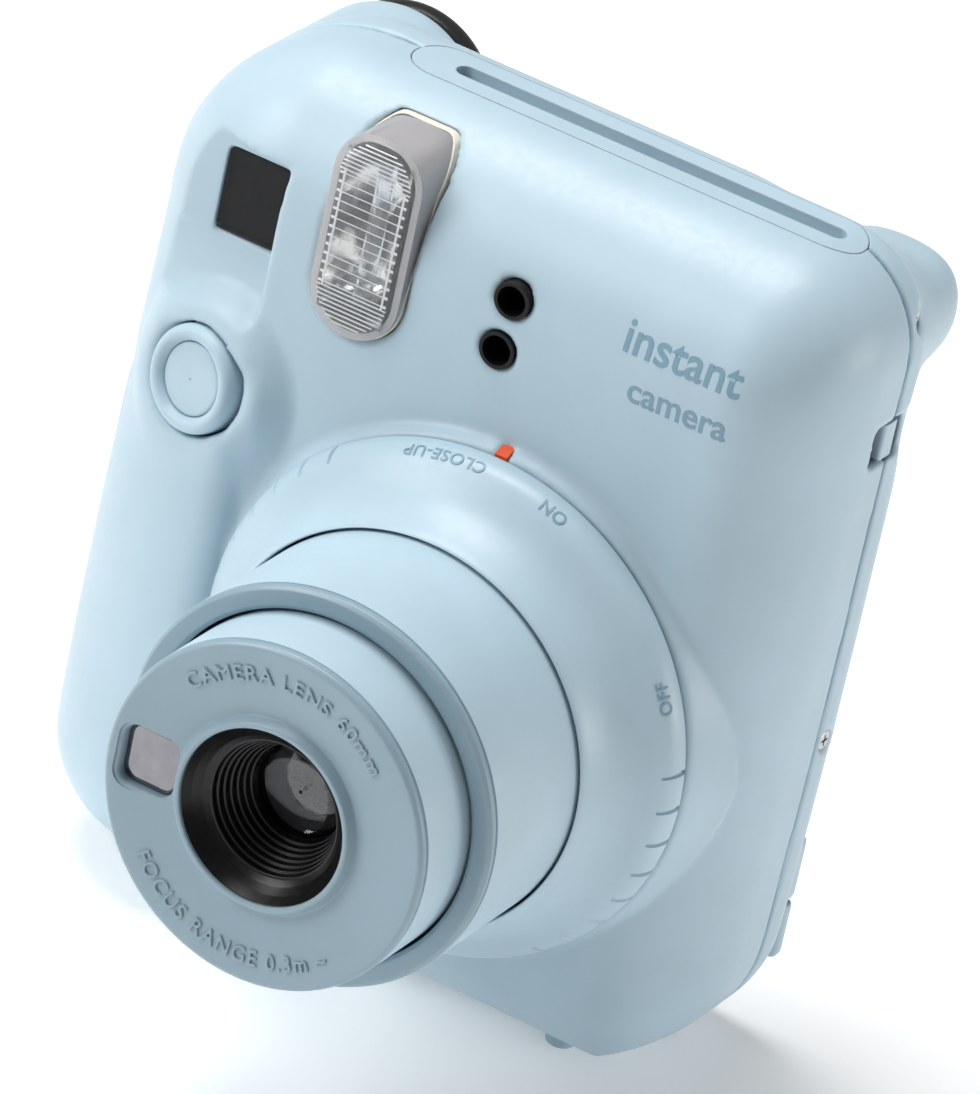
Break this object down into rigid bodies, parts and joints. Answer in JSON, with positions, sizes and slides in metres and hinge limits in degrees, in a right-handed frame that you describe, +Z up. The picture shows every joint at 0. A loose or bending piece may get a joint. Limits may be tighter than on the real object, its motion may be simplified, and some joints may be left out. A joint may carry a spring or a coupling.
{
  "type": "instant film camera",
  "caption": "Compact instant film camera with rounded body, twist-to-extend lens, flash window, viewfinder, film exit slot, hinged film and battery doors.",
  "frame": {"origin": "middle of the camera's bounding box, at the level of the feet it stands on", "axes": "+Z up, -Y the way the lens looks, +X to the right seen from the front"},
  "size_m": [0.1042, 0.0996, 0.122],
  "materials": {
    "body_shell": "fine matt grain, pale blue",
    "lens_trim": "fine matt grain, greyed pale blue",
    "black_plastic": "satin black",
    "black_gloss": "polished black",
    "soft_black": "soft matt black",
    "clear_window": "clear moulded window with fine ribs",
    "smoked_window": "smoked window",
    "lens_glass": "coated optical glass",
    "mirror": "polished",
    "reflector": "bright plated",
    "seal": "matt cream seal",
    "index_orange": "satin orange red",
    "steel": "brushed",
    "brass": "turned",
    "gear_plastic": "natural white",
    "roller_metal": "polished",
    "circuit_green": "lacquered board",
    "cell_jacket": "printed metal jacket",
    "capacitor_sleeve": "shrink sleeve"
  },
  "bodies": {
    "body": {"front_cover": "body_shell", "rear_cover": "body_shell", "hinge_pins": "steel", "film_exit_plate": "body_shell", "index_mark": "index_orange", "guide_tube": "black_plastic", "light_box": "black_plastic", "film_chamber": "black_plastic", "roller_frame": "black_plastic", "drive_motor": "steel", "viewfinder_window": "smoked_window", "viewfinder_tunnel": "black_plastic", "viewfinder_front_lens": "lens_glass", "eyepiece_lens": "lens_glass", "eyepiece_ring": "soft_black", "flash_window": "clear_window", "flash_gasket": "seal", "flash_reflector": "reflector", "flash_tube": "lens_glass", "flash_capacitor": "capacitor_sleeve", "button_switch": "black_plastic", "sensor_tubes": "black_plastic", "sensor_lenses": "lens_glass", "sensor_board": "circuit_green", "main_board": "circuit_green", "aa_cells": "cell_jacket", "cell_cradle": "black_plastic", "cell_contacts": "steel", "strap_bar": "body_shell", "feet": "body_shell", "case_screws": "steel", "counter_window": "clear_window"},
    "mode_ring": {"mode_ring": "body_shell", "cam_tube": "black_plastic"},
    "outer_lens": {"outer_barrel": "body_shell", "outer_barrel_cap": "body_shell"},
    "inner_lens": {"inner_barrel": "body_shell", "lens_face": "lens_trim", "selfie_mirror": "mirror", "lens_funnel": "black_gloss", "front_glass": "lens_glass", "lens_cell": "black_plastic", "rear_glass": "lens_glass", "shutter_base": "black_plastic"},
    "shutter_right": {"shutter_blade_right": "steel"},
    "shutter_left": {"shutter_blade_left": "steel"},
    "parallax_slide": {"parallax_frame": "black_plastic"},
    "release_button": {"shutter_button": "body_shell", "shutter_button_disc": "body_shell"},
    "film_door": {"film_door": "body_shell", "film_door_window": "clear_window", "pressure_springs": "steel"},
    "battery_door": {"battery_door": "body_shell"},
    "door_latch": {"door_latch": "body_shell"},
    "exit_flap": {"film_exit_flap": "body_shell"},
    "drive_roller": {"drive_roller": "roller_metal"},
    "pinch_roller": {"pinch_roller": "roller_metal"},
    "idler": {"idler_gear": "gear_plastic"},
    "pinion": {"motor_pinion": "brass"},
    "counter": {"counter_dial": "black_plastic"}
  },
  "joints": [
    {"name": "mode_ring_turn", "type": "hinge", "parent": "body", "child": "mode_ring", "pos_m": [0.011, 0, 0.0505], "axis": [0, -1, 0], "range_deg": [0, 74]},
    {"name": "outer_barrel_slide", "type": "slide", "parent": "body", "child": "outer_lens", "axis": [0, 1, 0], "range_m": [0, 0.02156]},
    {"name": "inner_barrel_slide", "type": "slide", "parent": "outer_lens", "child": "inner_lens", "axis": [0, 1, 0], "range_m": [0, 0.01136]},
    {"name": "shutter_right_turn", "type": "hinge", "parent": "inner_lens", "child": "shutter_right", "pos_m": [0.0215, -0.0311, 0.0425], "axis": [0, 1, 0], "range_deg": [0, 55], "stiffness_Nm_per_rad": 0.0002},
    {"name": "shutter_left_turn", "type": "hinge", "parent": "inner_lens", "child": "shutter_left", "pos_m": [0.0005, -0.0305, 0.0425], "axis": [0, 1, 0], "range_deg": [-55, 0]},
    {"name": "parallax_shift", "type": "slide", "parent": "body", "child": "parallax_slide", "axis": [1, 0, 0], "range_m": [0, 0.00121]},
    {"name": "release_press", "type": "slide", "parent": "body", "child": "release_button", "axis": [0.262, 0.9582, -0.115], "range_m": [0, 0.0012], "stiffness_N_per_m": 400},
    {"name": "film_door_swing", "type": "hinge", "parent": "body", "child": "film_door", "pos_m": [0.0464, 0.0365, 0.05], "axis": [0, 0, -1], "range_deg": [0, 105]},
    {"name": "battery_door_swing", "type": "hinge", "parent": "body", "child": "battery_door", "pos_m": [-0.0507, 0.0208, 0.0425], "axis": [0, 0, -1], "range_deg": [0, 92]},
    {"name": "latch_slide", "type": "slide", "parent": "body", "child": "door_latch", "axis": [0, 0, -1], "range_m": [0, 0.0026], "stiffness_N_per_m": 120, "springref_m": -0.002},
    {"name": "exit_flap_swing", "type": "hinge", "parent": "body", "child": "exit_flap", "pos_m": [0.0107, 0.0212, 0.11875], "axis": [1, 0, 0], "range_deg": [0, 60], "stiffness_Nm_per_rad": 0.00002},
    {"name": "drive_roller_spin", "type": "hinge", "parent": "body", "child": "drive_roller", "pos_m": [0.0118, 0.0183, 0.107], "axis": [1, 0, 0], "continuous": true},
    {"name": "pinch_roller_spin", "type": "hinge", "parent": "body", "child": "pinch_roller", "pos_m": [0.0118, 0.0263, 0.107], "axis": [1, 0, 0], "continuous": true},
    {"name": "idler_spin", "type": "hinge", "parent": "body", "child": "idler", "pos_m": [0.0431, 0.0103, 0.107], "axis": [1, 0, 0], "continuous": true},
    {"name": "pinion_spin", "type": "hinge", "parent": "body", "child": "pinion", "pos_m": [0.0431, 0.0103, 0.1014], "axis": [1, 0, 0], "continuous": true},
    {"name": "counter_turn", "type": "hinge", "parent": "body", "child": "counter", "pos_m": [-0.0365, 0.0296, 0.0099], "axis": [0, -1, 0], "range_deg": [0, 324]}
  ],
  "couplings": [
    {"joint": "outer_barrel_slide", "follows": "mode_ring_turn", "m_per_rad": 0.016685},
    {"joint": "inner_barrel_slide", "follows": "mode_ring_turn", "m_per_rad": 0.0087879},
    {"joint": "parallax_shift", "follows": "mode_ring_turn", "m_per_rad": 0.00092912},
    {"joint": "shutter_left_turn", "follows": "shutter_right_turn", "ratio": -1},
    {"joint": "pinch_roller_spin", "follows": "drive_roller_spin", "ratio": -1},
    {"joint": "idler_spin", "follows": "drive_roller_spin", "ratio": -1},
    {"joint": "pinion_spin", "follows": "drive_roller_spin", "ratio": 2.5}
  ]
}
